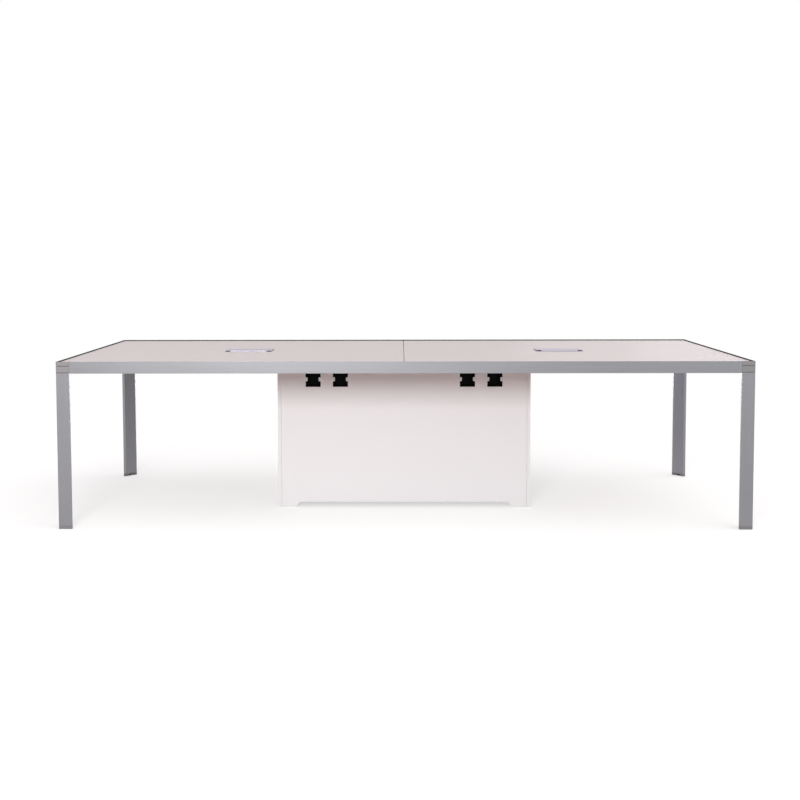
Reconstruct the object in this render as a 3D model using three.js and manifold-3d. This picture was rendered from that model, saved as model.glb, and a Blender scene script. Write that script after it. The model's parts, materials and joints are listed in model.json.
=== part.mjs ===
// A conference table: two laminate boards in a silver aluminium frame on four legs with levelling feet,
// a white cable box under the middle with four socket back boxes, and two flip-top cable ports.
// Millimetres, +Z up. The origin is on the floor under the middle of the table, X runs along its length
// and -Y is the side with the sockets.
import * as THREE from "three";
import { mergeVertices } from "three/addons/utils/BufferGeometryUtils.js";
import Module from "manifold-3d";

const wasm = await Module();
wasm.setup();

// Overall size
const tableLength = 3000;
const tableWidth = 1200;
const tableHeight = 730;

// Fits: the gap between faces that rest on each other, and round pieces that slide into each other
const seat = 0.3;
const slip = 0.3;

// Boards
const boardThickness = 25;
const boardEdgeGap = 1;
const seamGap = 2;

// Frame rails: a hollow ledge that carries the boards, with a thin lip that stands up round them
const railHeight = 51.5;
const railDepth = 34;
const railWall = 2.5;
const lipThickness = 3;
const lipRise = 5;

// Legs: two outer faces at a right angle, a nose at the end of each, and a diagonal inner face
const legSize = 57;
const legNose = 12;
const legWall = 2.5;
const outerRadius = 3;

// Corner castings, with spigots into two rails and a leg, a fine groove round the outside,
// and a shadow line where they sit on the leg, a little above the rails' underside
const cornerRise = 2.5;
const railSpigot = 45;
const legSpigot = 60;
const grooveDrop = 18;
const grooveHeight = 3;
const grooveDepth = 1.8;
const jointLineHeight = 2.5;
const jointLineDepth = 1.5;

// Bolts that hold the legs on the castings' spigots
const boltRadius = 3;
const boltLength = 22;
const boltHeadRadius = 5.5;
const boltHeadHeight = 3.3;

// Foot caps and levelling feet
const capHeight = 14;
const capSpigot = 30;
const capGround = 1.5;
const footInset = 21;
const footPadRadius = 13;
const footPadHeight = 9;
const footPadChamfer = 1.5;
const footRecessGap = 1;
const footStemRadius = 4;
const footStemLength = 36;
const footNotchWidth = 25;

// Beams under the boards
const beamWidth = 60;
const beamWall = 2;
const sideBeamInset = 380;

// Cable box
const boxWidth = 1184;
const boxDepth = 338;
const panelThickness = 16;
const panelGap = 0.5;
const toeHeight = 24;
const toeFootWidth = 84;
const toeCurve = 28;
const beamNotchGap = 1;
const boxFloorHeight = 60;
const cableHoleWidth = 80;
const cableHoleHeight = 40;
const cableHoleDrop = 40;

// Brackets between the cable box and the boards
const bracketLeg = 30;
const bracketThickness = 2;
const bracketLength = 40;
const bracketY = 100;

// Socket back boxes and their fixing lugs
const socketSize = 70;
const socketWall = 2;
const socketDepth = 45;
const socketDrop = 126;
const socketEndInset = 167;
const socketSpacing = 128;
const lugReach = 9;
const lugHeight = 18;
const lugThickness = 1.5;
const lugChamfer = 3;
const lugHoleRadius = 1.8;
const lugScrewSpacing = 60.3;

// Flip-top cable ports
const portBoxGap = 50;
const portWidth = 220;
const portDepth = 120;
const portFlange = 1.6;
const skirtWidth = 200;
const skirtDepth = 100;
const skirtWall = 3;
const skirtDrop = 5;
const skirtGap = 1;
const trayDepth = 55;
const trayWall = 2;
const traySlotWidth = 60;
const traySlotDepth = 30;

// Lids of the ports and their hinges
const lidThickness = 2.5;
const lidNotchWidth = 24;
const lidNotchDepth = 25;
const lidLip = 2.5;
const lidSideSetback = 4;
const barrelRadius = 3.2;
const hingeRodRadius = 1.6;
const hingeRearGap = 1.8;
const hingeSideGap = 0.5;

// Facets of round pieces, and how far a cutter reaches past the face it cuts
const roundSides = 20;
const arcSteps = 5;
const over = 1;

// Places along X and heights that follow from the sizes above
const sideBeamX = tableLength / 2 - sideBeamInset;
const portX = boxWidth / 2 + portBoxGap + skirtWidth / 2;
const socketOuterX = boxWidth / 2 - socketEndInset;
const socketInnerX = socketOuterX - socketSpacing;
const socketHeight = tableHeight - socketDrop;
const boardTop = tableHeight - lipRise;
const boardBottom = boardTop - boardThickness;
const ledgeTop = boardBottom - seat;
const railBottom = tableHeight - railHeight;
const cornerBottom = railBottom + cornerRise;
const legTop = cornerBottom - seat;
const capTop = capGround + capHeight;
const legBottom = capTop + seat;
const flangeTop = boardTop + seat + portFlange;
const skirtBottom = boardBottom - skirtDrop;
const trayTop = skirtBottom - seat;
const lidBottom = flangeTop + seat;
const lidTop = lidBottom + lidThickness;

// The lids' hinge line, in the port's own frame
const hingeY = skirtDepth / 2 - skirtWall - hingeRearGap - barrelRadius;
const hingeZ = lidTop - barrelRadius;

// Places of the cable box's panels
const boxSideInner = boxWidth / 2 - panelThickness;
const boxFront = -boxDepth / 2;

const table = new THREE.Group();

const silver = new THREE.MeshStandardMaterial({ color: 0xaeaeb4, roughness: 0.42, metalness: 0.9 });
const castGrey = new THREE.MeshStandardMaterial({ color: 0x9b989a, roughness: 0.55, metalness: 0.6 });
const boardWhite = new THREE.MeshStandardMaterial({ color: 0xdad0d0, roughness: 0.4, metalness: 0 });
const panelWhite = new THREE.MeshStandardMaterial({ color: 0xefecec, roughness: 0.5, metalness: 0 });
const capGrey = new THREE.MeshStandardMaterial({ color: 0x86868a, roughness: 0.6, metalness: 0 });
const black = new THREE.MeshStandardMaterial({ color: 0x101012, roughness: 0.6, metalness: 0 });
const zinc = new THREE.MeshStandardMaterial({ color: 0xc9c8cc, roughness: 0.4, metalness: 0.9 });
const lidSilver = new THREE.MeshStandardMaterial({ color: 0xd5d3da, roughness: 0.35, metalness: 0.8 });

// A closed three.js geometry as a solid that can be joined and cut
function solid(geometry) {
  const bare = geometry.clone();
  bare.deleteAttribute("normal");
  bare.deleteAttribute("uv");
  const merged = mergeVertices(bare, 1e-4);
  return new wasm.Manifold(
    new wasm.Mesh({
      numProp: 3,
      vertProperties: new Float32Array(merged.attributes.position.array),
      triVerts: new Uint32Array(merged.index.array),
    }),
  );
}

// A solid as a three.js geometry
function geometryOf(manifold) {
  const mesh = manifold.getMesh();
  const geometry = new THREE.BufferGeometry();
  geometry.setAttribute("position", new THREE.BufferAttribute(mesh.vertProperties, 3));
  geometry.setIndex(new THREE.BufferAttribute(mesh.triVerts, 1));
  geometry.computeVertexNormals();
  return geometry;
}

// A box between two values on each axis
function block(x0, x1, y0, y1, z0, z1) {
  const geometry = new THREE.BoxGeometry(x1 - x0, y1 - y0, z1 - z0);
  return solid(geometry.translate((x0 + x1) / 2, (y0 + y1) / 2, (z0 + z1) / 2));
}

// A box centred on the Z axis
function centred(width, depth, z0, z1) {
  return block(-width / 2, width / 2, -depth / 2, depth / 2, z0, z1);
}

// An outline drawn in X and Y, raised from z0 to z1
function prism(shape, z0, z1) {
  const options = { depth: z1 - z0, bevelEnabled: false, curveSegments: arcSteps };
  return solid(new THREE.ExtrudeGeometry(shape, options).translate(0, 0, z0));
}

// An outline drawn in Y and Z, drawn out along X
function alongX(shape, x0, x1) {
  const options = { depth: x1 - x0, bevelEnabled: false, curveSegments: arcSteps };
  const turn = new THREE.Matrix4().set(0, 0, 1, x0, 1, 0, 0, 0, 0, 1, 0, 0, 0, 0, 0, 1);
  return solid(new THREE.ExtrudeGeometry(shape, options).applyMatrix4(turn));
}

// An outline drawn in X and Z, drawn out along Y
function alongY(shape, y0, y1) {
  const options = { depth: y1 - y0, bevelEnabled: false, curveSegments: arcSteps };
  return solid(new THREE.ExtrudeGeometry(shape, options).rotateX(Math.PI / 2).translate(0, y1, 0));
}

// A round bar along X
function barX(radius, x0, x1, y, z) {
  const geometry = new THREE.CylinderGeometry(radius, radius, x1 - x0, roundSides).rotateZ(Math.PI / 2);
  return solid(geometry.translate((x0 + x1) / 2, y, z));
}

// A round bar along Z
function barZ(radius, x, y, z0, z1) {
  const geometry = new THREE.CylinderGeometry(radius, radius, z1 - z0, roundSides).rotateX(Math.PI / 2);
  return solid(geometry.translate(x, y, (z0 + z1) / 2));
}

// A turned piece about Z, from a profile of radius and height that starts and ends on the axis
function turned(profile) {
  const points = profile.map(([radius, height]) => new THREE.Vector2(radius, height));
  return solid(new THREE.LatheGeometry(points, roundSides).rotateX(Math.PI / 2));
}

// A closed outline through corners
function outline(corners) {
  return new THREE.Shape(corners.map(([a, b]) => new THREE.Vector2(a, b)));
}

// A rectangular path, for an outline or a hole in one
function rectangle(a0, a1, b0, b1) {
  return outline([
    [a0, b0],
    [a1, b0],
    [a1, b1],
    [a0, b1],
  ]);
}

function add(parent, name, manifold, material) {
  const mesh = new THREE.Mesh(geometryOf(manifold), material);
  mesh.name = name;
  parent.add(mesh);
  return mesh;
}

// Frame rails

// A rail along X in its own frame: its outer face lies on Y = 0 and it is deep towards +Y
function rail(length) {
  const section = outline([
    [0, railBottom],
    [railDepth, railBottom],
    [railDepth, ledgeTop],
    [lipThickness, ledgeTop],
    [lipThickness, tableHeight],
    [0, tableHeight],
  ]);
  section.holes.push(rectangle(railWall, railDepth - railWall, railBottom + railWall, ledgeTop - railWall));
  return alongX(section, -length / 2, length / 2);
}

function addRails() {
  const longRail = tableLength - 2 * legSize - 2 * seat;
  const shortRail = tableWidth - 2 * legSize - 2 * seat;
  const sides = [
    ["rail_front", longRail, 0, -tableWidth / 2, 0],
    ["rail_rear", longRail, 0, tableWidth / 2, Math.PI],
    ["rail_left", shortRail, -tableLength / 2, 0, -Math.PI / 2],
    ["rail_right", shortRail, tableLength / 2, 0, Math.PI / 2],
  ];
  for (const [name, length, x, y, turn] of sides) {
    const mesh = add(table, name, rail(length), silver);
    mesh.position.set(x, y, 0);
    mesh.rotation.z = turn;
  }
}

// Corners, legs and feet. Each corner has its own frame, with the outer edge at X = Y = 0
// and the table towards +X and +Y.

// The leg's outline, moved in from its outer faces by an inset
function legOutline(inset) {
  const far = legSize - inset;
  const nose = legNose - inset * (Math.SQRT2 - 1);
  const radius = Math.max(outerRadius - inset, 0);
  const shape = new THREE.Shape();
  shape.moveTo(inset, inset + radius);
  if (radius > 0) {
    shape.absarc(inset + radius, inset + radius, radius, Math.PI, 1.5 * Math.PI, false);
  }
  shape.lineTo(far, inset);
  shape.lineTo(far, nose);
  shape.lineTo(nose, far);
  shape.lineTo(inset, far);
  return shape;
}

// An L-shaped or full plan with the rounded outer edge of the casting
function cornerPlan(innerCorners) {
  const shape = new THREE.Shape();
  shape.moveTo(0, outerRadius);
  shape.absarc(outerRadius, outerRadius, outerRadius, Math.PI, 1.5 * Math.PI, false);
  for (const [x, y] of innerCorners) {
    shape.lineTo(x, y);
  }
  return shape;
}

// The line of the leg bolt: from the middle of the diagonal face towards the outer edge
const boltHeight = cornerBottom - legSpigot / 2;
const diagonalMiddle = (legSize + legNose) / 2;
const diagonalOut = new THREE.Vector3(1, 1, 0).normalize();

function boltHole() {
  const reach = boltLength + seat;
  const hole = new THREE.CylinderGeometry(boltRadius + slip, boltRadius + slip, 2 * reach, roundSides);
  hole.applyQuaternion(new THREE.Quaternion().setFromUnitVectors(new THREE.Vector3(0, 1, 0), diagonalOut));
  return solid(hole.translate(diagonalMiddle, diagonalMiddle, boltHeight));
}

// A cutter for a groove round both outer faces, between two heights
function outerGroove(depth, z0, z1) {
  const frontCut = block(-over, legSize + over, -over, depth, z0, z1);
  const sideCut = block(-over, depth, -over, legSize + over, z0, z1);
  return frontCut.add(sideCut);
}

function cornerCasting() {
  const ledge = cornerPlan([
    [legSize, 0],
    [legSize, railDepth],
    [railDepth, legSize],
    [0, legSize],
  ]);
  const lip = cornerPlan([
    [legSize, 0],
    [legSize, lipThickness],
    [lipThickness, lipThickness],
    [lipThickness, legSize],
    [0, legSize],
  ]);
  const spigotIn = railWall + slip;
  const spigotOut = railDepth - railWall - slip;
  const spigotEnd = legSize + railSpigot;
  const spigotBottom = railBottom + railWall + slip;
  const spigotTop = ledgeTop - railWall - slip;
  const grooveTop = tableHeight - grooveDrop;
  return prism(ledge, cornerBottom, ledgeTop)
    .add(prism(lip, cornerBottom, tableHeight))
    .add(block(legSize - over, spigotEnd, spigotIn, spigotOut, spigotBottom, spigotTop))
    .add(block(spigotIn, spigotOut, legSize - over, spigotEnd, spigotBottom, spigotTop))
    .add(prism(legOutline(legWall + slip), cornerBottom - legSpigot, cornerBottom + over))
    .subtract(outerGroove(grooveDepth, grooveTop - grooveHeight, grooveTop))
    .subtract(outerGroove(jointLineDepth, cornerBottom - over, cornerBottom + jointLineHeight))
    .subtract(boltHole());
}

function leg() {
  const section = legOutline(0);
  section.holes.push(legOutline(legWall));
  return prism(section, legBottom, legTop).subtract(boltHole());
}

function legBolt() {
  return turned([
    [0, -boltLength],
    [boltRadius, -boltLength],
    [boltRadius, 0],
    [boltHeadRadius, 0],
    [boltHeadRadius, boltHeadHeight],
    [0, boltHeadHeight],
  ]);
}

function footCap() {
  const recessRadius = footPadRadius + footRecessGap;
  const recessTop = footPadHeight + seat;
  const notch = new THREE.BoxGeometry(legSize, footNotchWidth, recessTop).translate(legSize / 2, 0, recessTop / 2);
  notch.rotateZ(Math.PI / 4).translate(footInset, footInset, 0);
  return prism(legOutline(0), capGround, capTop)
    .add(prism(legOutline(legWall + slip), capTop - over, capTop + capSpigot))
    .subtract(barZ(footStemRadius + slip, footInset, footInset, 0, capTop + capSpigot + over))
    .subtract(barZ(recessRadius, footInset, footInset, 0, recessTop))
    .subtract(solid(notch));
}

function levellingFoot() {
  return turned([
    [0, 0],
    [footPadRadius - footPadChamfer, 0],
    [footPadRadius, footPadChamfer],
    [footPadRadius, footPadHeight],
    [footStemRadius, footPadHeight],
    [footStemRadius, footPadHeight + footStemLength],
    [0, footPadHeight + footStemLength],
  ]);
}

function addCorners() {
  const casting = cornerCasting();
  const legSolid = leg();
  const cap = footCap();
  const foot = levellingFoot();
  const bolt = legBolt();
  for (const [rowName, ySide] of [["front", -1], ["rear", 1]]) {
    for (const [endName, xSide] of [["left", -1], ["right", 1]]) {
      const place = rowName + "_" + endName;
      const corner = new THREE.Group();
      corner.position.set((xSide * tableLength) / 2, (ySide * tableWidth) / 2, 0);
      corner.scale.set(-xSide, -ySide, 1);
      table.add(corner);
      add(corner, "corner_" + place, casting, castGrey);
      add(corner, "leg_" + place, legSolid, silver);
      add(corner, "foot_cap_" + place, cap, capGrey);
      add(corner, "levelling_foot_" + place, foot, black).position.set(footInset, footInset, 0);
      const boltMesh = add(corner, "leg_bolt_" + place, bolt, zinc);
      const faceGap = diagonalOut.clone().multiplyScalar(seat);
      boltMesh.position.set(diagonalMiddle, diagonalMiddle, boltHeight).add(faceGap);
      boltMesh.quaternion.setFromUnitVectors(new THREE.Vector3(0, 0, 1), diagonalOut);
    }
  }
}

// Boards and beams

function board(side) {
  const inner = seamGap / 2;
  const outer = tableLength / 2 - lipThickness - boardEdgeGap;
  const halfWidth = tableWidth / 2 - lipThickness - boardEdgeGap;
  const holeWidth = skirtWidth + 2 * skirtGap;
  const holeDepth = skirtDepth + 2 * skirtGap;
  const hole = centred(holeWidth, holeDepth, boardBottom - over, boardTop + over);
  const ends = side < 0 ? [-outer, -inner] : [inner, outer];
  const plate = block(ends[0], ends[1], -halfWidth, halfWidth, boardBottom, boardTop);
  return plate.subtract(hole.translate([side * portX, 0, 0]));
}

// A hollow beam from rail to rail
function beam() {
  const reach = tableWidth / 2 - railDepth - seat;
  const section = rectangle(-beamWidth / 2, beamWidth / 2, railBottom, ledgeTop);
  const inside = beamWidth / 2 - beamWall;
  section.holes.push(rectangle(-inside, inside, railBottom + beamWall, ledgeTop - beamWall));
  return alongY(section, -reach, reach);
}

function addTop() {
  add(table, "top_board_left", board(-1), boardWhite);
  add(table, "top_board_right", board(1), boardWhite);
  add(table, "beam_centre", beam(), silver);
  add(table, "beam_left", beam(), silver).position.x = -sideBeamX;
  add(table, "beam_right", beam(), silver).position.x = sideBeamX;
}

// Cable box

// The front and rear panels' outline: a toe notch between two feet, and a notch round the centre beam
function boxPanelOutline() {
  const half = boxSideInner - panelGap;
  const footEnd = boxWidth / 2 - toeFootWidth;
  const toeStart = footEnd - toeCurve;
  const notch = beamWidth / 2 + beamNotchGap;
  const notchBottom = railBottom - beamNotchGap;
  const shape = new THREE.Shape();
  shape.moveTo(-half, 0);
  shape.lineTo(-footEnd, 0);
  shape.quadraticCurveTo(-footEnd + toeCurve / 2, toeHeight, -toeStart, toeHeight);
  shape.lineTo(toeStart, toeHeight);
  shape.quadraticCurveTo(footEnd - toeCurve / 2, toeHeight, footEnd, 0);
  shape.lineTo(half, 0);
  shape.lineTo(half, ledgeTop);
  shape.lineTo(notch, ledgeTop);
  shape.lineTo(notch, notchBottom);
  shape.lineTo(-notch, notchBottom);
  shape.lineTo(-notch, ledgeTop);
  shape.lineTo(-half, ledgeTop);
  return shape;
}

const socketPlaces = [-socketOuterX, -socketInnerX, socketInnerX, socketOuterX];

function boxFrontPanel() {
  const half = socketSize / 2 + slip;
  const back = boxFront + panelThickness;
  let panel = alongY(boxPanelOutline(), boxFront, back);
  for (const x of socketPlaces) {
    panel = panel.subtract(
      block(x - half, x + half, boxFront - over, back + over, socketHeight - half, socketHeight + half),
    );
  }
  return panel;
}

// A side panel with a hole near the top, where cables leave for the ports
function boxSidePanel() {
  const shape = rectangle(-boxDepth / 2, boxDepth / 2, 0, ledgeTop);
  const holeTop = railBottom - cableHoleDrop;
  const holeHalf = cableHoleWidth / 2;
  shape.holes.push(rectangle(-holeHalf, holeHalf, holeTop - cableHoleHeight, holeTop));
  return alongX(shape, 0, panelThickness);
}

function boxFloor() {
  const halfX = boxSideInner - seat;
  const halfY = boxDepth / 2 - panelThickness - seat;
  return block(-halfX, halfX, -halfY, halfY, boxFloorHeight, boxFloorHeight + panelThickness);
}

// An angle bracket under a board, against a side panel on its own -X side
function bracket() {
  const section = outline([
    [seat, ledgeTop - bracketLeg],
    [seat + bracketThickness, ledgeTop - bracketLeg],
    [seat + bracketThickness, ledgeTop - bracketThickness],
    [seat + bracketLeg, ledgeTop - bracketThickness],
    [seat + bracketLeg, ledgeTop],
    [seat, ledgeTop],
  ]);
  return alongY(section, -bracketLength / 2, bracketLength / 2);
}

function addCableBox() {
  add(table, "box_front_panel", boxFrontPanel(), panelWhite);
  add(table, "box_rear_panel", alongY(boxPanelOutline(), -boxFront - panelThickness, -boxFront), panelWhite);
  add(table, "box_side_left", boxSidePanel(), panelWhite).position.x = -boxWidth / 2;
  add(table, "box_side_right", boxSidePanel(), panelWhite).position.x = boxSideInner;
  add(table, "box_floor", boxFloor(), panelWhite);
  for (const [endName, xSide] of [["left", -1], ["right", 1]]) {
    for (const [rowName, ySide] of [["front", -1], ["rear", 1]]) {
      const mesh = add(table, "box_bracket_" + rowName + "_" + endName, bracket(), zinc);
      mesh.position.set(xSide * boxSideInner, ySide * bracketY, 0);
      mesh.scale.x = -xSide;
    }
  }
}

// Socket back boxes, drawn about their own middle with the open face on Y = 0 and the depth towards +Y

function socketBox() {
  const half = socketSize / 2;
  const inside = half - socketWall;
  const boss = half - lugReach;
  const lugHalf = lugHeight / 2;
  const lugSeat = lugThickness + seat;
  const cavity = block(-inside, inside, -over, socketDepth - socketWall, -inside, inside)
    .subtract(block(boss, half, lugSeat, socketDepth, -lugHalf, lugHalf))
    .subtract(block(-half, -boss, lugSeat, socketDepth, -lugHalf, lugHalf));
  const recess = block(-half - over, half + over, -over, lugSeat, -lugHalf - slip, lugHalf + slip);
  return block(-half, half, 0, socketDepth, -half, half).subtract(cavity).subtract(recess);
}

// The lug on the +X side, with a screw hole and its lower inner corner cut off
function socketLug() {
  const half = socketSize / 2;
  const inner = half - lugReach;
  const lugHalf = lugHeight / 2;
  const shape = outline([
    [inner + lugChamfer, -lugHalf],
    [half, -lugHalf],
    [half, lugHalf],
    [inner, lugHalf],
    [inner, -lugHalf + lugChamfer],
  ]);
  const hole = new THREE.Path().absarc(lugScrewSpacing / 2, 0, lugHoleRadius, 0, 2 * Math.PI, false);
  shape.holes.push(hole);
  return alongY(shape, 0, lugThickness);
}

function addSockets() {
  const box = socketBox();
  const lug = socketLug();
  socketPlaces.forEach((x, index) => {
    const socket = new THREE.Group();
    socket.position.set(x, boxFront, socketHeight);
    table.add(socket);
    const number = index + 1;
    add(socket, "socket_box_" + number, box, black);
    add(socket, "socket_lug_" + number + "_right", lug, zinc);
    add(socket, "socket_lug_" + number + "_left", lug, zinc).scale.x = -1;
  });
}

// Flip-top cable ports, drawn about their own middle

function portFrame() {
  const throatWidth = skirtWidth - 2 * skirtWall;
  const throatDepth = skirtDepth - 2 * skirtWall;
  const flangeBottom = boardTop + seat;
  const ear = (side) => {
    const inner = (side * throatWidth) / 2;
    const outer = (side * skirtWidth) / 2;
    return barX(barrelRadius, Math.min(inner, outer), Math.max(inner, outer), hingeY, hingeZ);
  };
  return centred(portWidth, portDepth, flangeBottom, flangeTop)
    .add(centred(skirtWidth, skirtDepth, skirtBottom, flangeTop))
    .subtract(centred(throatWidth, throatDepth, skirtBottom - over, flangeTop + over))
    .add(ear(-1))
    .add(ear(1))
    .subtract(barX(hingeRodRadius + slip, -skirtWidth, skirtWidth, hingeY, hingeZ));
}

function portLid() {
  const barrelHalf = skirtWidth / 2 - skirtWall - hingeSideGap;
  const front = -portDepth / 2;
  const lipInner = front - seat;
  const lipOuter = lipInner - lidLip;
  const half = portWidth / 2;
  const lipHalf = half - lidNotchWidth;
  const notchBack = front + lidNotchDepth;
  const sideBack = hingeY - lidSideSetback;
  const plate = outline([
    [-lipHalf, lipOuter],
    [lipHalf, lipOuter],
    [lipHalf, notchBack],
    [half, notchBack],
    [half, sideBack],
    [barrelHalf, sideBack],
    [barrelHalf, hingeY],
    [-barrelHalf, hingeY],
    [-barrelHalf, sideBack],
    [-half, sideBack],
    [-half, notchBack],
    [-lipHalf, notchBack],
  ]);
  return prism(plate, lidBottom, lidTop)
    .add(block(-lipHalf, lipHalf, lipOuter, lipInner, boardTop + seat, lidTop))
    .add(barX(barrelRadius, -barrelHalf, barrelHalf, hingeY, hingeZ))
    .subtract(barX(hingeRodRadius + slip, -half, half, hingeY, hingeZ));
}

function portTray() {
  const insideWidth = skirtWidth - 2 * trayWall;
  const insideDepth = skirtDepth - 2 * trayWall;
  const bottom = trayTop - trayDepth;
  return centred(skirtWidth, skirtDepth, bottom, trayTop)
    .subtract(centred(insideWidth, insideDepth, bottom + trayWall, trayTop + over))
    .subtract(centred(traySlotWidth, traySlotDepth, bottom - over, trayTop));
}

function addPorts() {
  for (const [endName, xSide] of [["left", -1], ["right", 1]]) {
    const port = new THREE.Group();
    port.position.x = xSide * portX;
    table.add(port);
    const rodHalf = skirtWidth / 2 - seat;
    add(port, "port_frame_" + endName, portFrame(), black);
    add(port, "port_lid_" + endName, portLid(), lidSilver);
    add(port, "port_hinge_rod_" + endName, barX(hingeRodRadius, -rodHalf, rodHalf, hingeY, hingeZ), zinc);
    add(port, "port_tray_" + endName, portTray(), black);
  }
}

addRails();
addCorners();
addTop();
addCableBox();
addSockets();
addPorts();

export default table;
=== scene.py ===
import json
import math

import bmesh
import bpy
from mathutils import Matrix, Vector


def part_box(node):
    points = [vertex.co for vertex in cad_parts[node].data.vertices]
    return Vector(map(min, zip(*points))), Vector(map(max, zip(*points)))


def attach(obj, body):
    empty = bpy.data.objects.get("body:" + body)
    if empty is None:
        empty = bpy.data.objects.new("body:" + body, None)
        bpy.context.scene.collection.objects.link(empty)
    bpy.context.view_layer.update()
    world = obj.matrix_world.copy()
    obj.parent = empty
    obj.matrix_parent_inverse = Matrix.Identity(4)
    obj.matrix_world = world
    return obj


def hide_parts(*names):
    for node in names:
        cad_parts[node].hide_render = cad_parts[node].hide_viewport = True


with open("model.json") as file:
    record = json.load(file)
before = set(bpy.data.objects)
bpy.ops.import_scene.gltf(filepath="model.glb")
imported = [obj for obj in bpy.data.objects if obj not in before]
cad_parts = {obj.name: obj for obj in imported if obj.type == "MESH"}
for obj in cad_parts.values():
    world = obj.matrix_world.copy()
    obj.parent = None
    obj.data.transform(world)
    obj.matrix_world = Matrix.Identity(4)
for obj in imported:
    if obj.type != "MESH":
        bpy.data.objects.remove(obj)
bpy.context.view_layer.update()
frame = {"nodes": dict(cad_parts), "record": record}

MM = 0.001
PLACES = ("front_left", "front_right", "rear_left", "rear_right")
X_AXIS = 0
Y_AXIS = 1
UP = Vector((0.0, 0.0, 1.0))
DOWN = Vector((0.0, 0.0, -1.0))

# Camera: its place in metres, its turns in degrees, and the photograph's focal length and middle in pixels
IMAGE_SIZE = 800
SENSOR_WIDTH = 36.0
CAMERA_PLACE = (-0.0164, -5.3615, 1.1960)
CAMERA_YAW = -0.745
CAMERA_PITCH = 3.508
CAMERA_ROLL = 0.133
FOCAL_PIXELS = 1115.8
MIDDLE_PIXEL = (385.8, 320.9)

# Colours of the finishes, as red, green and blue
SILVER = (0.250, 0.249, 0.266)
LID_SILVER = (0.39, 0.365, 0.44)
LID_LINING = (0.035, 0.035, 0.038)
CASTING_GREY = (0.220, 0.212, 0.220)
LAMINATE = (0.450, 0.396, 0.402)
BACKING = (0.45, 0.33, 0.28)
PANEL_WHITE = (0.728, 0.755, 0.775)
CAP_GREY = (0.162, 0.160, 0.171)
FOOT_BLACK = (0.006, 0.006, 0.006)
PLASTIC_BLACK = (0.004, 0.004, 0.0045)
SEAL_BLACK = (0.030, 0.026, 0.026)
ZINC = (0.43, 0.42, 0.42)
ZINC_FILM = (0.46, 0.44, 0.38)

# The castings' groove and the shadow line above the leg, where shade is painted into the colour as darker
# bands
GROOVE_DROP = 18.0 * MM
GROOVE_HEIGHT = 3.0 * MM
JOINT_SHADOW_HEIGHT = 2.8 * MM
PAINTED_SHADE_SHARE = 0.5

# Textures: the range that most of a noise lies in, and the normal's Z below which a face looks down
NOISE_LOW = 0.3
NOISE_HIGH = 0.7
DOWNWARD = -0.5

# The colour sockets of a Mix node, by number, because its other kinds of socket have the same names
MIX_FIRST = 6
MIX_SECOND = 7
MIX_RESULT = 2

# Widths of the softened edges, in millimetres, by material slot
EDGE_WIDTH = {
    "silver_frame": 0.5,
    "corner_casting": 0.4,
    "table_laminate": 0.8,
    "white_panel": 0.6,
    "grey_cap": 0.8,
    "black_foot": 0.6,
    "black_plastic": 0.4,
    "zinc_steel": 0.25,
    "lid_aluminium": 0.5,
}
EDGE_STEPS = 2
EDGE_ANGLE = math.radians(30)
FLAT_ANGLE = math.radians(1)
WELD_DISTANCE = 0.005 * MM
LARGE_FACE_WEIGHT = 100

# Button-head screws: the head's outline as shares of its height and radius, then the socket and the tip
ROUND_STEPS = 48
HEAD_OUTLINE = ((0.0, 0.97), (0.18, 1.0), (0.45, 0.96), (0.74, 0.86), (0.95, 0.70), (1.0, 0.62))
SOCKET_SHARE = 0.52
SOCKET_TAPER = 0.97
SOCKET_LIP = 0.94
SOCKET_FLOOR = 0.35
TIP_RADIUS_SHARE = 0.7
TIP_LENGTH_SHARE = 0.4

# Leg bolts
BOLT_HEAD_RADIUS = 5.5 * MM
BOLT_HEAD_HEIGHT = 3.3 * MM
BOLT_RADIUS = 3.0 * MM
BOLT_LENGTH = 22.0 * MM

# Levelling feet: a moulded pad with a spanner hexagon, on a threaded steel stem
PAD_CHAMFER = 1.5 * MM
PAD_RIM_HEIGHT = 7.6 * MM
PAD_SHOULDER = 0.8 * MM
PAD_FLUTE_DEPTH = 0.7 * MM
PAD_FLUTES = 12
PAD_HEIGHT = 9.0 * MM
SPANNER_RADIUS = 8.5 * MM
STEM_CREST = 4.0 * MM
STEM_ROOT = 3.4 * MM
STEM_PITCH = 1.5 * MM
STEM_SLICES = 4
STEM_TIP_SHARE = 0.8

# Screws under the frame and in the brackets of the cable box
SCREW_HEAD_RADIUS = 4.0 * MM
SCREW_HEAD_HEIGHT = 2.2 * MM
SCREW_RADIUS = 2.0 * MM
SCREW_LENGTH = 12.0 * MM
RAIL_SCREW_INSET = 22.0 * MM
BEAM_SCREW_INSETS = (40.0 * MM, 220.0 * MM)
BRACKET_SCREW_SPREAD = 11.0 * MM
BRACKET_THICKNESS = 2.0 * MM

# The dark seal in the gap between the boards and the frame's lip
SEAL_WIDTH = 0.8 * MM
SEAL_CLEARANCE = 0.1 * MM
SEAL_DEPTH = 12.0 * MM
SEAL_DROP = 0.8 * MM
SEAL_SHOULDER = SEAL_WIDTH / 4

# Surround: white to the camera, and a dim warm light on the table
WHITE = (1.0, 1.0, 1.0)
WHITE_STRENGTH = 1.0
WORLD_COLOUR = (1.0, 0.925, 0.92)
WORLD_LIGHT = 0.58

# Floor: its colour to the camera and to bounced light. It fades to white between two distances from the
# table's middle, and the stretch makes distances along the table count for less.
FLOOR_SEEN = (0.94, 0.94, 0.94)
FLOOR_BOUNCE = (0.470, 0.365, 0.350)
FLOOR_HALF = 40.0
FLOOR_DROP = 0.2 * MM
FADE_NEAR = 2.2
FADE_FAR = 4.5
FADE_LEAST = 0.6
FADE_STRETCH = (0.6, 1.0, 0.0)

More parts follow.
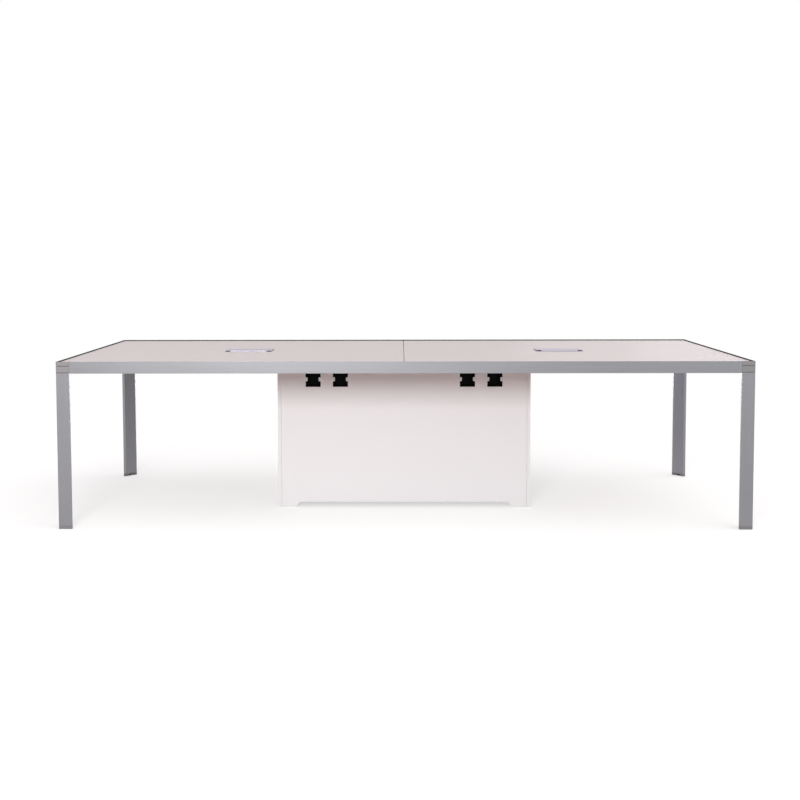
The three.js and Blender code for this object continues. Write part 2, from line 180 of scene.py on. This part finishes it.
# Lamps: a wide soft light from above, and panels in front, behind and at the left, in metres and watts
SKY_LIGHT = 1.75
SKY_ANGLE = math.radians(70)
SKY_PLACE = (0.0, 0.0, 4.0)
SKY_AIM = (-0.60, 0.35, -1.0)
WARM_LIGHT = (1.0, 0.985, 0.965)
WINDOW_LIGHT = (0.84, 0.92, 1.0)
SIDE_LIGHT = (0.74, 0.74, 1.0)
BACKLIGHT_SIZE = (6.0, 3.0)
BACKLIGHT_TARGET = (1.2, 0.0, 0.7)
PANEL_LAMPS = (
    {"name": "softbox", "size": (1.6, 1.8), "power": 255.0, "colour": WARM_LIGHT,
     "place": (-1.2, -6.2, 2.5), "target": (-0.2, 0.0, 0.5)},
    {"name": "window", "size": (1.0, 1.4), "power": 9.0, "colour": WINDOW_LIGHT,
     "place": (3.6, -5.6, 1.0), "target": (1.3, 0.0, 0.6)},
    {"name": "rear_lamp", "size": (4.0, 0.6), "power": 80.0, "colour": WARM_LIGHT,
     "place": (0.0, 5.5, 0.42), "target": (0.0, 0.0, 0.38)},
    {"name": "side_lamp", "size": (1.0, 0.7), "power": 24.0, "colour": SIDE_LIGHT,
     "place": (-5.5, -0.55, 0.4), "target": (1.4, 0.5, 0.25)},
    {"name": "backlight_near", "size": BACKLIGHT_SIZE, "power": 25.0, "colour": WHITE,
     "place": (4.2, 7.0, 1.6), "target": BACKLIGHT_TARGET},
    {"name": "backlight_far", "size": BACKLIGHT_SIZE, "power": 38.0, "colour": WHITE,
     "place": (5.6, 7.4, 1.6), "target": BACKLIGHT_TARGET},
)


# Help with shader nodes

def calculate(tree, operation, first, second):
    """The result of a Math node, whose two values are sockets or plain numbers."""
    node = tree.nodes.new("ShaderNodeMath")
    node.operation = operation
    for value, socket in zip((first, second), node.inputs):
        if isinstance(value, bpy.types.NodeSocket):
            tree.links.new(value, socket)
        else:
            socket.default_value = value
    return node.outputs["Value"]


def mix_colours(tree, factor, first, second):
    """A colour between two colours, which are sockets or plain colours."""
    node = tree.nodes.new("ShaderNodeMix")
    node.data_type = "RGBA"
    tree.links.new(factor, node.inputs["Factor"])
    for value, number in ((first, MIX_FIRST), (second, MIX_SECOND)):
        if isinstance(value, bpy.types.NodeSocket):
            tree.links.new(value, node.inputs[number])
        else:
            node.inputs[number].default_value = opaque(value)
    return node.outputs[MIX_RESULT]


def mix_shaders(tree, factor, first, second):
    """A shader that goes from the first to the second as the factor goes from 0 to 1."""
    node = tree.nodes.new("ShaderNodeMixShader")
    for output, socket in zip((factor, first, second), node.inputs):
        tree.links.new(output, socket)
    return node.outputs["Shader"]


def opaque(colour):
    return (*colour, 1.0)


def scaled(colour, factor):
    return tuple(channel * factor for channel in colour)


def even(per_metre):
    """The same number of grains per metre along X, Y and Z."""
    return (per_metre, per_metre, per_metre)


def streaks(along, across, lengthwise):
    """Grains per metre along X, Y and Z for streaks that run along one axis."""
    return tuple(lengthwise if axis == along else across for axis in "XYZ")


class Finish:
    """A procedural material: one Principled shader and the textures that drive it."""

    def __init__(self, name, metallic=0.0):
        self.material = bpy.data.materials.new(name)
        self.material.use_nodes = True
        self.tree = self.material.node_tree
        self.shader = self.tree.nodes["Principled BSDF"]
        self.shader.inputs["Metallic"].default_value = metallic
        texture = self.tree.nodes.new("ShaderNodeTexCoord")
        self.coordinates = texture.outputs["Object"]
        self.facing = texture.outputs["Normal"]

    def noise(self, per_metre, detail=2.0):
        """Noise with its own number of grains per metre along X, Y and Z."""
        mapping = self.tree.nodes.new("ShaderNodeMapping")
        mapping.inputs["Scale"].default_value = per_metre
        self.tree.links.new(self.coordinates, mapping.inputs["Vector"])
        texture = self.tree.nodes.new("ShaderNodeTexNoise")
        texture.inputs["Scale"].default_value = 1.0
        texture.inputs["Detail"].default_value = detail
        self.tree.links.new(mapping.outputs["Vector"], texture.inputs["Vector"])
        return texture.outputs["Fac"]

    def compare(self, vector, operation, limit):
        """1 where the Z of a vector is above or below a limit, and 0 elsewhere."""
        split = self.tree.nodes.new("ShaderNodeSeparateXYZ")
        self.tree.links.new(vector, split.inputs["Vector"])
        return calculate(self.tree, operation, split.outputs["Z"], limit)

    def band(self, low, high):
        """1 between two heights, and 0 elsewhere."""
        above = self.compare(self.coordinates, "GREATER_THAN", low)
        below = self.compare(self.coordinates, "LESS_THAN", high)
        return calculate(self.tree, "MULTIPLY", above, below)

    def underneath(self):
        """1 on faces that look down, and 0 elsewhere."""
        return self.compare(self.facing, "LESS_THAN", DOWNWARD)

    def spread(self, noise, low, high):
        """The middle of a noise's values, spread from low to high."""
        node = self.tree.nodes.new("ShaderNodeMapRange")
        node.inputs["From Min"].default_value = NOISE_LOW
        node.inputs["From Max"].default_value = NOISE_HIGH
        node.inputs["To Min"].default_value = low
        node.inputs["To Max"].default_value = high
        self.tree.links.new(noise, node.inputs["Value"])
        return node.outputs["Result"]

    def mottled(self, noise, base, dark, light):
        """A base colour that a noise makes darker and lighter, by two factors."""
        return self.blend(self.spread(noise, 0.0, 1.0), scaled(base, dark), scaled(base, light))

    def tinted(self, noise, colour, tint, most):
        """A colour into which a noise mixes up to a given share of a tint."""
        return self.blend(self.spread(noise, 0.0, most), colour, tint)

    def blend(self, factor, first, second):
        return mix_colours(self.tree, factor, first, second)

    def drive(self, name, output):
        """Links an output to one of the shader's inputs."""
        self.tree.links.new(output, self.shader.inputs[name])

    def roughness(self, noise, low, high):
        self.drive("Roughness", self.spread(noise, low, high))

    def bump(self, noise, height):
        """Raises the surface by up to a height in metres."""
        node = self.tree.nodes.new("ShaderNodeBump")
        node.inputs["Distance"].default_value = height
        self.tree.links.new(noise, node.inputs["Height"])
        self.drive("Normal", node.outputs["Normal"])


# Finishes

def anodised(name, along, base, roughness, lining=None):
    """Anodised aluminium with fine drawing lines along one axis, and perhaps a plastic lining below."""
    finish = Finish(name, metallic=1.0)
    lines = finish.noise(streaks(along, across=1400.0, lengthwise=3.0), detail=3.0)
    bands = finish.noise(streaks(along, across=110.0, lengthwise=0.8))
    cloud = finish.noise(even(5.0))
    colour = finish.mottled(lines, base, dark=0.93, light=1.06)
    colour = finish.tinted(bands, colour, scaled(base, 0.90), most=0.35)
    colour = finish.tinted(cloud, colour, scaled(base, 1.08), most=0.25)
    if lining:
        colour = finish.blend(finish.underneath(), colour, lining)
        finish.drive("Metallic", finish.compare(finish.facing, "GREATER_THAN", DOWNWARD))
    finish.drive("Base Color", colour)
    finish.roughness(lines, *roughness)
    finish.bump(lines, height=0.004 * MM)
    return finish.material


def cast_paint():
    """Silver-grey paint on a casting, with small flakes and faint patches, and painted shade in its
    grooves and in the shadow line above the leg.
    """
    finish = Finish("corner_casting_paint", metallic=0.75)
    groove_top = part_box("corner_front_left")[1].z - GROOVE_DROP
    leg_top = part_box("leg_front_left")[1].z
    # Bands of painted shade: the groove, and the shadow line where the casting sits on the leg
    groove_shade_band = finish.band(groove_top - GROOVE_HEIGHT, groove_top)
    joint_shadow_band = finish.band(leg_top, leg_top + JOINT_SHADOW_HEIGHT)
    flakes = finish.noise(even(2600.0), detail=1.0)
    patches = finish.noise(even(60.0), detail=3.0)
    colour = finish.mottled(flakes, CASTING_GREY, dark=0.86, light=1.14)
    colour = finish.tinted(patches, colour, scaled(CASTING_GREY, 0.92), most=0.4)
    # Painted shade: both bands are darkened in the colour, where shade falls in the recesses
    for line in (groove_shade_band, joint_shadow_band):
        colour = finish.blend(line, colour, scaled(CASTING_GREY, PAINTED_SHADE_SHARE))
    finish.drive("Base Color", colour)
    finish.roughness(patches, low=0.42, high=0.54)
    finish.bump(flakes, height=0.01 * MM)
    return finish.material


def table_laminate():
    """Pale warm-grey laminate with a fine fleck and a slow change of tone, on a brown backing."""
    finish = Finish("table_laminate_board")
    fleck = finish.noise(even(900.0))
    fibre = finish.noise(streaks("X", across=420.0, lengthwise=12.0), detail=3.0)
    tone = finish.noise((1.1, 2.2, 1.0), detail=1.0)
    colour = finish.mottled(fleck, LAMINATE, dark=0.975, light=1.02)
    colour = finish.tinted(fibre, colour, scaled(LAMINATE, 0.965), most=0.5)
    colour = finish.tinted(tone, colour, scaled(LAMINATE, 1.03), most=0.5)
    backing = finish.mottled(fibre, BACKING, dark=0.92, light=1.06)
    finish.drive("Base Color", finish.blend(finish.underneath(), colour, backing))
    finish.roughness(fibre, low=0.36, high=0.46)
    finish.bump(fleck, height=0.006 * MM)
    return finish.material


def white_panel():
    """White laminate on board, with a fine pressed texture."""
    finish = Finish("white_laminate_panel")
    fleck = finish.noise(even(700.0))
    tone = finish.noise(even(2.0), detail=1.0)
    colour = finish.mottled(fleck, PANEL_WHITE, dark=0.985, light=1.01)
    colour = finish.tinted(tone, colour, scaled(PANEL_WHITE, 0.98), most=0.5)
    finish.drive("Base Color", colour)
    finish.roughness(fleck, low=0.42, high=0.52)
    finish.bump(fleck, height=0.008 * MM)
    return finish.material


def moulded(name, base, roughness, gloss=0.5):
    """Moulded plastic with a spark-eroded texture and slight flow marks."""
    finish = Finish(name)
    finish.shader.inputs["Specular IOR Level"].default_value = gloss
    pits = finish.noise(even(1800.0))
    flow = finish.noise(streaks("Z", across=30.0, lengthwise=9.0))
    colour = finish.mottled(pits, base, dark=0.82, light=1.15)
    colour = finish.tinted(flow, colour, scaled(base, 1.12), most=0.5)
    finish.drive("Base Color", colour)
    finish.roughness(pits, *roughness)
    finish.bump(pits, height=0.02 * MM)
    return finish.material


def zinc_plate():
    """Zinc plating: pale steel with a faint yellow film."""
    finish = Finish("zinc_plated_steel", metallic=1.0)
    brushed = finish.noise(streaks("Y", across=700.0, lengthwise=90.0), detail=3.0)
    film = finish.noise(even(120.0), detail=1.0)
    colour = finish.mottled(brushed, ZINC, dark=0.92, light=1.06)
    colour = finish.tinted(film, colour, ZINC_FILM, most=0.3)
    finish.drive("Base Color", colour)
    finish.roughness(brushed, low=0.28, high=0.42)
    finish.bump(brushed, height=0.004 * MM)
    return finish.material


silver_along = {
    axis: anodised("silver_anodised_" + axis, axis, SILVER, roughness=(0.33, 0.43))
    for axis in "XYZ"
}
finishes = {
    "corner_casting": cast_paint(),
    "table_laminate": table_laminate(),
    "white_panel": white_panel(),
    "grey_cap": moulded("grey_moulded_cap", CAP_GREY, roughness=(0.46, 0.58)),
    "black_foot": moulded("black_moulded_foot", FOOT_BLACK, roughness=(0.50, 0.62), gloss=0.2),
    "black_plastic": moulded("black_moulded_plastic", PLASTIC_BLACK, roughness=(0.52, 0.66), gloss=0.08),
    "zinc_steel": zinc_plate(),
    "edge_seal": moulded("dark_edge_seal", SEAL_BLACK, roughness=(0.60, 0.74), gloss=0.3),
    "lid_aluminium": anodised(
        "lid_brushed_aluminium", "X", LID_SILVER, roughness=(0.40, 0.50), lining=LID_LINING
    ),
}


# CAD nodes: their finish, and edges that catch the light

def grain_axis(node):
    """The axis that a silver extrusion was drawn along."""
    if node.startswith("leg_"):
        return "Z"
    if node in ("rail_front", "rail_rear"):
        return "X"
    return "Y"


def keep_faces_flat(made):
    """Shades large faces flat and lets the narrow faces beside them turn the light."""
    normals = made.modifiers.new("normals", "WEIGHTED_NORMAL")
    normals.weight = LARGE_FACE_WEIGHT


def soften(node, width):
    """Joins the facets, then rounds the sharp edges and keeps the flat faces flat."""
    node.data.shade_smooth()
    weld = node.modifiers.new("weld", "WELD")
    weld.merge_threshold = WELD_DISTANCE
    flat = node.modifiers.new("flat", "DECIMATE")
    flat.decimate_type = "DISSOLVE"
    flat.angle_limit = FLAT_ANGLE
    bevel = node.modifiers.new("edges", "BEVEL")
    bevel.width = width
    bevel.segments = EDGE_STEPS
    bevel.limit_method = "ANGLE"
    bevel.angle_limit = EDGE_ANGLE
    keep_faces_flat(node)


def dress_nodes():
    """Gives every CAD node the finish of its material slot, and softened edges."""
    for part in frame["record"]["subparts"]:
        node = frame["nodes"][part["node"]]
        slot = part["material_slot"]
        finish = silver_along[grain_axis(node.name)] if slot == "silver_frame" else finishes[slot]
        node.data.materials.clear()
        node.data.materials.append(finish)
        soften(node, EDGE_WIDTH[slot] * MM)


# Pieces of the object that are made here

def add_object(name, data):
    """Makes an object and puts it in the scene."""
    made = bpy.data.objects.new(name, data)
    bpy.context.scene.collection.objects.link(made)
    return made


def piece(name, mesh, body, finish):
    """Makes a mesh into a piece of the object that rides on a body."""
    bmesh.ops.recalc_face_normals(mesh, faces=mesh.faces)
    data = bpy.data.meshes.new(name)
    mesh.to_mesh(data)
    mesh.free()
    data.materials.append(finish)
    data.shade_smooth()
    made = add_object(name, data)
    keep_faces_flat(made)
    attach(made, body)
    return made


def join_rings(mesh, lower, upper):
    """Joins two rings of points with a band of faces."""
    for step in range(len(lower)):
        after = (step + 1) % len(lower)
        mesh.faces.new((lower[step], lower[after], upper[after], upper[step]))


# Turned pieces: each ring is a height along the axis and its reach by angle

def circle(radius):
    """A round ring: the same reach all the way round."""
    return lambda angle: radius


def hexagon(radius):
    """A six-sided ring, by the distance from its middle to its corners."""
    sixth = math.pi / 3
    return lambda angle: radius * math.cos(sixth / 2) / math.cos(angle % sixth - sixth / 2)


def fluted(radius, depth, count):
    """A round rim with shallow flutes for the fingers."""
    return lambda angle: radius - depth * (0.5 - 0.5 * math.cos(count * angle))


def threaded(root, crest, pitch, height):
    """A slice through a screw thread, whose ridge climbs one pitch in each turn."""
    def reach(angle):
        along = (height / pitch - angle / math.tau) % 1.0
        return root + (crest - root) * (1 - abs(2 * along - 1))
    return reach


def turn(mesh, place, axis, rings):
    """Adds a closed turned body to a mesh."""
    to_axis = Matrix.Translation(place) @ Vector(axis).to_track_quat("Z", "Y").to_matrix().to_4x4()
    angles = [math.tau * step / ROUND_STEPS for step in range(ROUND_STEPS)]
    loops = []
    for height, reach in rings:
        points = [Vector((reach(a) * math.cos(a), reach(a) * math.sin(a), height)) for a in angles]
        loops.append([mesh.verts.new(to_axis @ point) for point in points])
    for lower, upper in zip(loops, loops[1:]):
        join_rings(mesh, lower, upper)
    mesh.faces.new(list(reversed(loops[0])))
    mesh.faces.new(loops[-1])


def button_head(radius, height, shank_radius, shank_length):
    """Rings of a button-head screw with a hexagon socket: from the shank's tip to the socket's floor."""
    shank = [
        (-shank_length, circle(shank_radius * TIP_RADIUS_SHARE)),
        (-shank_length + shank_radius * TIP_LENGTH_SHARE, circle(shank_radius)),
        (0.0, circle(shank_radius)),
    ]
    head = [(height * rise, circle(radius * reach)) for rise, reach in HEAD_OUTLINE]
    mouth = radius * SOCKET_SHARE
    socket = [
        (height, hexagon(mouth)),
        (height * SOCKET_LIP, hexagon(mouth * SOCKET_TAPER)),
        (height * SOCKET_FLOOR, hexagon(mouth * SOCKET_TAPER)),
    ]
    return shank + head + socket


# Leg bolts

def bolt_axis(place):
    """The way a leg bolt points: from the leg's outer edge towards the middle of the table."""
    row, end = place.split("_")
    return Vector((1 if end == "left" else -1, 1 if row == "front" else -1, 0)).normalized()


def make_leg_bolts():
    rings = button_head(BOLT_HEAD_RADIUS, BOLT_HEAD_HEIGHT, BOLT_RADIUS, BOLT_LENGTH)
    for place in PLACES:
        node = "leg_bolt_" + place
        low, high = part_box(node)
        axis = bolt_axis(place)
        seat = (low + high) / 2 + axis * (BOLT_LENGTH - BOLT_HEAD_HEIGHT) / 2
        mesh = bmesh.new()
        turn(mesh, seat, axis, rings)
        bolt = piece("button_bolt_" + place, mesh, "table", finishes["zinc_steel"])
        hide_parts(node)


# Levelling feet

def foot_pad(radius):
    """Rings of a pad: a chamfered and fluted rim, a shoulder and a spanner hexagon."""
    rim = fluted(radius, PAD_FLUTE_DEPTH, PAD_FLUTES)
    spanner = hexagon(SPANNER_RADIUS)
    return (
        (0.0, circle(radius - PAD_CHAMFER - PAD_FLUTE_DEPTH)),
        (PAD_CHAMFER, rim),
        (PAD_RIM_HEIGHT, rim),
        (PAD_RIM_HEIGHT + PAD_SHOULDER, circle(radius - PAD_SHOULDER - PAD_FLUTE_DEPTH)),
        (PAD_RIM_HEIGHT + PAD_SHOULDER, spanner),
        (PAD_HEIGHT, spanner),
    )


def foot_stem(length):
    """Rings of a threaded stem that starts on the pad and ends in a plain tip."""
    slices = int(length / STEM_PITCH * STEM_SLICES)
    heights = [step * STEM_PITCH / STEM_SLICES for step in range(slices)]
    rings = [(height, threaded(STEM_ROOT, STEM_CREST, STEM_PITCH, height)) for height in heights]
    return rings + [(length, circle(STEM_ROOT * STEM_TIP_SHARE))]


def make_levelling_feet():
    for place in PLACES:
        node = "levelling_foot_" + place
        low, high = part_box(node)
        under = Vector(((low.x + high.x) / 2, (low.y + high.y) / 2, low.z))
        mesh = bmesh.new()
        turn(mesh, under, UP, foot_pad((high.x - low.x) / 2))
        pad = piece("foot_pad_" + place, mesh, "foot_" + place, finishes["black_foot"])
        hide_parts(node)
        mesh = bmesh.new()
        turn(mesh, under + UP * PAD_HEIGHT, UP, foot_stem(high.z - low.z - PAD_HEIGHT))
        piece("foot_stem_" + place, mesh, "foot_" + place, finishes["zinc_steel"])


# Screws

def screw_group(name, places, axis):
    """Makes a group of equal screws whose heads point along an axis."""
    rings = button_head(SCREW_HEAD_RADIUS, SCREW_HEAD_HEIGHT, SCREW_RADIUS, SCREW_LENGTH)
    mesh = bmesh.new()
    for place in places:
        turn(mesh, place, axis, rings)
    piece(name, mesh, "table", finishes["zinc_steel"])


def under_ends(node, along, insets):
    """Places under a bar, at some distances from both of its ends."""
    low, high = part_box(node)
    places = []
    for inset in insets:
        for end in (low[along] + inset, high[along] - inset):
            place = Vector(((low.x + high.x) / 2, (low.y + high.y) / 2, low.z))
            place[along] = end
            places.append(place)
    return places


def make_frame_screws():
    rails = {"rail_front": X_AXIS, "rail_rear": X_AXIS, "rail_left": Y_AXIS, "rail_right": Y_AXIS}
    for rail, along in rails.items():
        screw_group("screws_" + rail, under_ends(rail, along, (RAIL_SCREW_INSET,)), DOWN)
    for beam in ("beam_left", "beam_centre", "beam_right"):
        screw_group("screws_" + beam, under_ends(beam, Y_AXIS, BEAM_SCREW_INSETS), DOWN)


def make_bracket_screws():
    """Two screws up into the board and two into the side panel, in each bracket."""
    for place in PLACES:
        low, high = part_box("box_bracket_" + place)
        middle = (low + high) / 2
        inward = Vector((1.0 if place.endswith("left") else -1.0, 0.0, 0.0))
        wall = low.x if inward.x > 0 else high.x
        step_in = inward.x * BRACKET_THICKNESS
        top = []
        side = []
        for y in (middle.y - BRACKET_SCREW_SPREAD, middle.y + BRACKET_SCREW_SPREAD):
            top.append(Vector((middle.x + step_in, y, high.z - BRACKET_THICKNESS)))
            side.append(Vector((wall + step_in, y, middle.z - BRACKET_THICKNESS)))
        screw_group("screws_bracket_top_" + place, top, DOWN)
        screw_group("screws_bracket_side_" + place, side, inward)


# Edge seal

def make_edge_seal():
    """One closed strip round both boards, with a rounded top a little below the lip's edge."""
    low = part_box("top_board_left")[0]
    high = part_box("top_board_right")[1]
    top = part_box("rail_front")[1].z - SEAL_DROP
    inner = SEAL_CLEARANCE
    outer = SEAL_CLEARANCE + SEAL_WIDTH
    profile = (
        (inner, top - SEAL_DEPTH),
        (inner, top - SEAL_SHOULDER),
        (inner + SEAL_SHOULDER, top),
        (outer - SEAL_SHOULDER, top),
        (outer, top - SEAL_SHOULDER),
        (outer, top - SEAL_DEPTH),
    )
    mesh = bmesh.new()
    loops = []
    for out, height in profile:
        west, east = low.x - out, high.x + out
        south, north = low.y - out, high.y + out
        corners = ((west, south), (east, south), (east, north), (west, north))
        loops.append([mesh.verts.new((x, y, height)) for x, y in corners])
    for first, second in zip(loops, loops[1:] + loops[:1]):
        join_rings(mesh, first, second)
    piece("edge_seal", mesh, "table", finishes["edge_seal"])


# Camera

def make_camera():
    """Stands the camera at the photograph's viewpoint, with its framing."""
    yaw, pitch, roll = (math.radians(angle) for angle in (CAMERA_YAW, CAMERA_PITCH, CAMERA_ROLL))
    ahead = math.cos(pitch)
    forward = Vector((math.sin(yaw) * ahead, math.cos(yaw) * ahead, -math.sin(pitch)))
    level = Vector((math.cos(yaw), -math.sin(yaw), 0.0))
    down = forward.cross(level)
    right = math.cos(roll) * level + math.sin(roll) * down
    up = math.sin(roll) * level - math.cos(roll) * down
    data = bpy.data.cameras.new("camera")
    data.sensor_width = SENSOR_WIDTH
    data.lens = FOCAL_PIXELS * SENSOR_WIDTH / IMAGE_SIZE
    data.shift_x = 0.5 - MIDDLE_PIXEL[0] / IMAGE_SIZE
    data.shift_y = MIDDLE_PIXEL[1] / IMAGE_SIZE - 0.5
    camera = add_object("camera", data)
    turned = Matrix((right, up, -forward)).transposed().to_4x4()
    camera.matrix_world = Matrix.Translation(CAMERA_PLACE) @ turned
    bpy.context.scene.camera = camera


# Studio

def seen_directly(tree):
    """1 where the camera looks, also through a reflection or glass, and 0 for light that bounces."""
    path = tree.nodes.new("ShaderNodeLightPath")
    total = path.outputs["Is Camera Ray"]
    for name in ("Is Glossy Ray", "Is Transmission Ray"):
        total = calculate(tree, "MAXIMUM", total, path.outputs[name])
    return total


def make_world():
    world = bpy.data.worlds.new("studio")
    bpy.context.scene.world = world
    world.use_nodes = True
    tree = world.node_tree
    light = tree.nodes["Background"]
    light.inputs["Color"].default_value = opaque(WORLD_COLOUR)
    light.inputs["Strength"].default_value = WORLD_LIGHT
    white = tree.nodes.new("ShaderNodeBackground")
    white.inputs["Color"].default_value = opaque(WHITE)
    white.inputs["Strength"].default_value = WHITE_STRENGTH
    seen = seen_directly(tree)
    surround = mix_shaders(tree, seen, light.outputs["Background"], white.outputs["Background"])
    tree.links.new(surround, tree.nodes["World Output"].inputs["Surface"])


def fade_with_distance(tree):
    """How white the floor is, which grows with the distance from the table's middle."""
    place = tree.nodes.new("ShaderNodeNewGeometry")
    stretch = tree.nodes.new("ShaderNodeVectorMath")
    stretch.operation = "MULTIPLY"
    stretch.inputs[1].default_value = FADE_STRETCH
    tree.links.new(place.outputs["Position"], stretch.inputs[0])
    away = tree.nodes.new("ShaderNodeVectorMath")
    away.operation = "LENGTH"
    tree.links.new(stretch.outputs["Vector"], away.inputs[0])
    fade = tree.nodes.new("ShaderNodeMapRange")
    fade.interpolation_type = "SMOOTHSTEP"
    fade.inputs["From Min"].default_value = FADE_NEAR
    fade.inputs["From Max"].default_value = FADE_FAR
    fade.inputs["To Min"].default_value = FADE_LEAST
    tree.links.new(away.outputs["Value"], fade.inputs["Value"])
    return fade.outputs["Result"]


def floor_material():
    """Plain pale floor near the table, which keeps its shadow, and white far away."""
    material = bpy.data.materials.new("studio_floor")
    material.use_nodes = True
    tree = material.node_tree
    tree.nodes.clear()
    seen = seen_directly(tree)
    plain = tree.nodes.new("ShaderNodeBsdfDiffuse")
    tree.links.new(mix_colours(tree, seen, FLOOR_BOUNCE, FLOOR_SEEN), plain.inputs["Color"])
    white = tree.nodes.new("ShaderNodeEmission")
    white.inputs["Strength"].default_value = WHITE_STRENGTH
    whiteness = calculate(tree, "MULTIPLY", fade_with_distance(tree), seen)
    surface = mix_shaders(tree, whiteness, plain.outputs["BSDF"], white.outputs["Emission"])
    output = tree.nodes.new("ShaderNodeOutputMaterial")
    tree.links.new(surface, output.inputs["Surface"])
    return material


def make_floor():
    sides = ((-1, -1), (1, -1), (1, 1), (-1, 1))
    corners = [(x * FLOOR_HALF, y * FLOOR_HALF, -FLOOR_DROP) for x, y in sides]
    data = bpy.data.meshes.new("floor")
    data.from_pydata(corners, [], [(0, 1, 2, 3)])
    data.materials.append(floor_material())
    floor = add_object("floor", data)


def place_lamp(name, data, place, aim):
    """Puts a lamp in the scene, turned to shine along its aim and hidden from the camera."""
    lamp = add_object(name, data)
    lamp.location = place
    lamp.rotation_euler = Vector(aim).to_track_quat("-Z", "Y").to_euler()
    lamp.visible_camera = False


def panel_lamp(name, size, power, colour, place, target):
    """A flat rectangular lamp that faces a target."""
    data = bpy.data.lights.new(name, "AREA")
    data.shape = "RECTANGLE"
    data.size, data.size_y = size
    data.energy = power
    data.color = colour
    place_lamp(name, data, place, Vector(target) - Vector(place))


def make_lamps():
    sky = bpy.data.lights.new("sky", "SUN")
    sky.energy = SKY_LIGHT
    sky.angle = SKY_ANGLE
    place_lamp("sky", sky, SKY_PLACE, SKY_AIM)
    for lamp in PANEL_LAMPS:
        panel_lamp(**lamp)


dress_nodes()
make_leg_bolts()
make_levelling_feet()
make_edge_seal()
make_frame_screws()
make_bracket_screws()
make_camera()
make_world()
make_floor()
make_lamps()
bpy.context.scene.view_settings.view_transform = "Standard"
